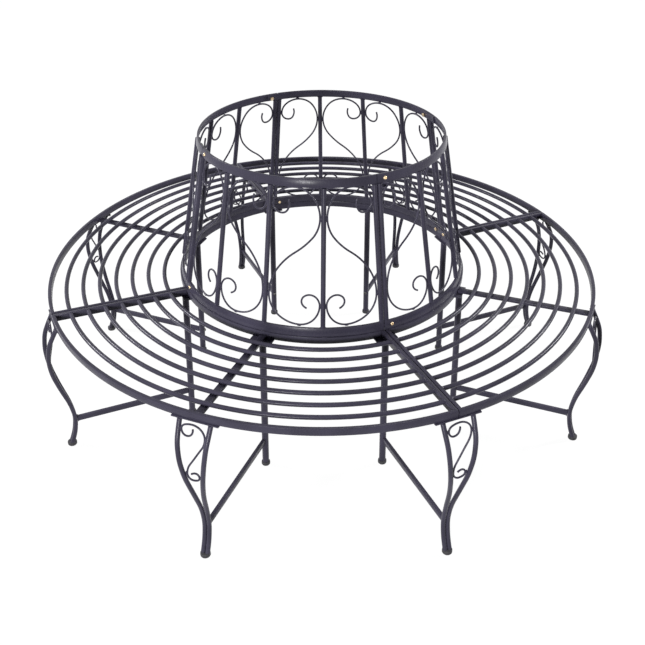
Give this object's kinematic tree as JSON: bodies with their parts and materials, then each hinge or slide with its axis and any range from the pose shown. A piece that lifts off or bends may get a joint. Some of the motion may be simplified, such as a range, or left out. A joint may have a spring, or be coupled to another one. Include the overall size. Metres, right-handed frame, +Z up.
{
  "type": "tree_bench",
  "caption": "Round metal tree bench in bolted quarters, with a slatted ring seat, a leaning ring backrest of uprights and scrolls, and tube legs",
  "frame": {"origin": "the middle of the ring, at floor level", "axes": "+Z up; the camera side of the picture is -Y; one seam of the ring points between +X and -Y"},
  "size_m": [1.6, 1.6, 0.86],
  "materials": {
    "powder_coat": "satin",
    "foot_plastic": "matte",
    "bolt_steel": "satin",
    "bolt_brass": "satin"
  },
  "bodies": {
    "root": {"seat_outer_rim_right": "powder_coat", "seat_inner_rim_right": "powder_coat", "seat_slats_right": "powder_coat", "seat_cross_bars_right": "powder_coat", "back_top_rail_right": "powder_coat", "back_low_rail_right": "powder_coat", "back_uprights_right": "powder_coat", "back_scrolls_right": "powder_coat", "seat_outer_rim_back": "powder_coat", "seat_inner_rim_back": "powder_coat", "seat_slats_back": "powder_coat", "seat_cross_bars_back": "powder_coat", "back_top_rail_back": "powder_coat", "back_low_rail_back": "powder_coat", "back_uprights_back": "powder_coat", "back_scrolls_back": "powder_coat", "seat_outer_rim_left": "powder_coat", "seat_inner_rim_left": "powder_coat", "seat_slats_left": "powder_coat", "seat_cross_bars_left": "powder_coat", "back_top_rail_left": "powder_coat", "back_low_rail_left": "powder_coat", "back_uprights_left": "powder_coat", "back_scrolls_left": "powder_coat", "seat_outer_rim_front": "powder_coat", "seat_inner_rim_front": "powder_coat", "seat_slats_front": "powder_coat", "seat_cross_bars_front": "powder_coat", "back_top_rail_front": "powder_coat", "back_low_rail_front": "powder_coat", "back_uprights_front": "powder_coat", "back_scrolls_front": "powder_coat", "leg_tubes_front_right": "powder_coat", "leg_post_front_right": "powder_coat", "leg_tubes_right_front": "powder_coat", "leg_post_right_front": "powder_coat", "leg_tubes_right_back": "powder_coat", "leg_post_right_back": "powder_coat", "leg_tubes_back_right": "powder_coat", "leg_post_back_right": "powder_coat", "leg_tubes_back_left": "powder_coat", "leg_post_back_left": "powder_coat", "leg_tubes_left_back": "powder_coat", "leg_post_left_back": "powder_coat", "leg_tubes_left_front": "powder_coat", "leg_post_left_front": "powder_coat", "leg_tubes_front_left": "powder_coat", "leg_post_front_left": "powder_coat", "leg_scrolls": "powder_coat", "leg_braces": "powder_coat", "leg_front_plates": "powder_coat", "leg_post_plates": "powder_coat", "back_lap_plates": "powder_coat", "leg_front_feet": "foot_plastic", "leg_post_feet": "foot_plastic", "leg_plate_bolts": "bolt_steel", "leg_brace_bolts": "bolt_steel", "back_rail_bolts": "bolt_brass", "back_rail_nuts": "bolt_brass", "back_lap_screws": "bolt_brass"}
  },
  "joints": []
}
